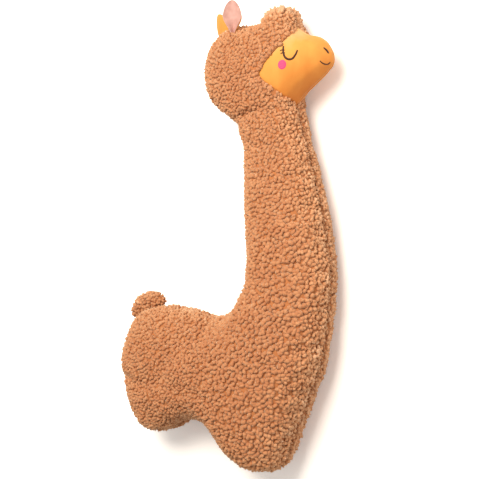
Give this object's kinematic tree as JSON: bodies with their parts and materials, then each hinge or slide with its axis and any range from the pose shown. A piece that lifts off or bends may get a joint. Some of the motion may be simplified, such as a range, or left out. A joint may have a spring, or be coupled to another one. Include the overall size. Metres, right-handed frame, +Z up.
{
  "type": "plush llama",
  "caption": "Long-necked stuffed llama of curly fleece, lying on its side, with a smooth embroidered face, two ears and a stub tail.",
  "frame": {"origin": "on the floor, under the middle of the trunk, at the flat underside of the left body panel", "axes": "+Y runs up the neck to the head, +X is the way the llama faces, +Z is up, its right side"},
  "size_m": [0.3395, 0.6987, 0.1405],
  "materials": {
    "curly_fleece": "curly sherpa fleece",
    "gold_velboa": "short smooth nap",
    "pink_satin": "soft satin",
    "polyester_fibre": "loose fibre",
    "dark_thread": "satin stitch",
    "pink_thread": "satin stitch"
  },
  "bodies": {
    "root": {"body_panel_left": "curly_fleece", "body_panel_right": "curly_fleece", "face_panel_left": "gold_velboa", "face_panel_right": "gold_velboa", "stuffing": "polyester_fibre", "tail_stuffing": "polyester_fibre", "tail_panel_left": "curly_fleece", "tail_panel_right": "curly_fleece", "ear_left_back": "gold_velboa", "ear_left_lining": "pink_satin", "ear_right_back": "gold_velboa", "ear_right_lining": "pink_satin", "eye_left": "dark_thread", "eye_right": "dark_thread", "nostril_left": "dark_thread", "nostril_right": "dark_thread", "mouth_left": "dark_thread", "mouth_right": "dark_thread", "cheek_left": "pink_thread", "cheek_right": "pink_thread"}
  },
  "joints": []
}
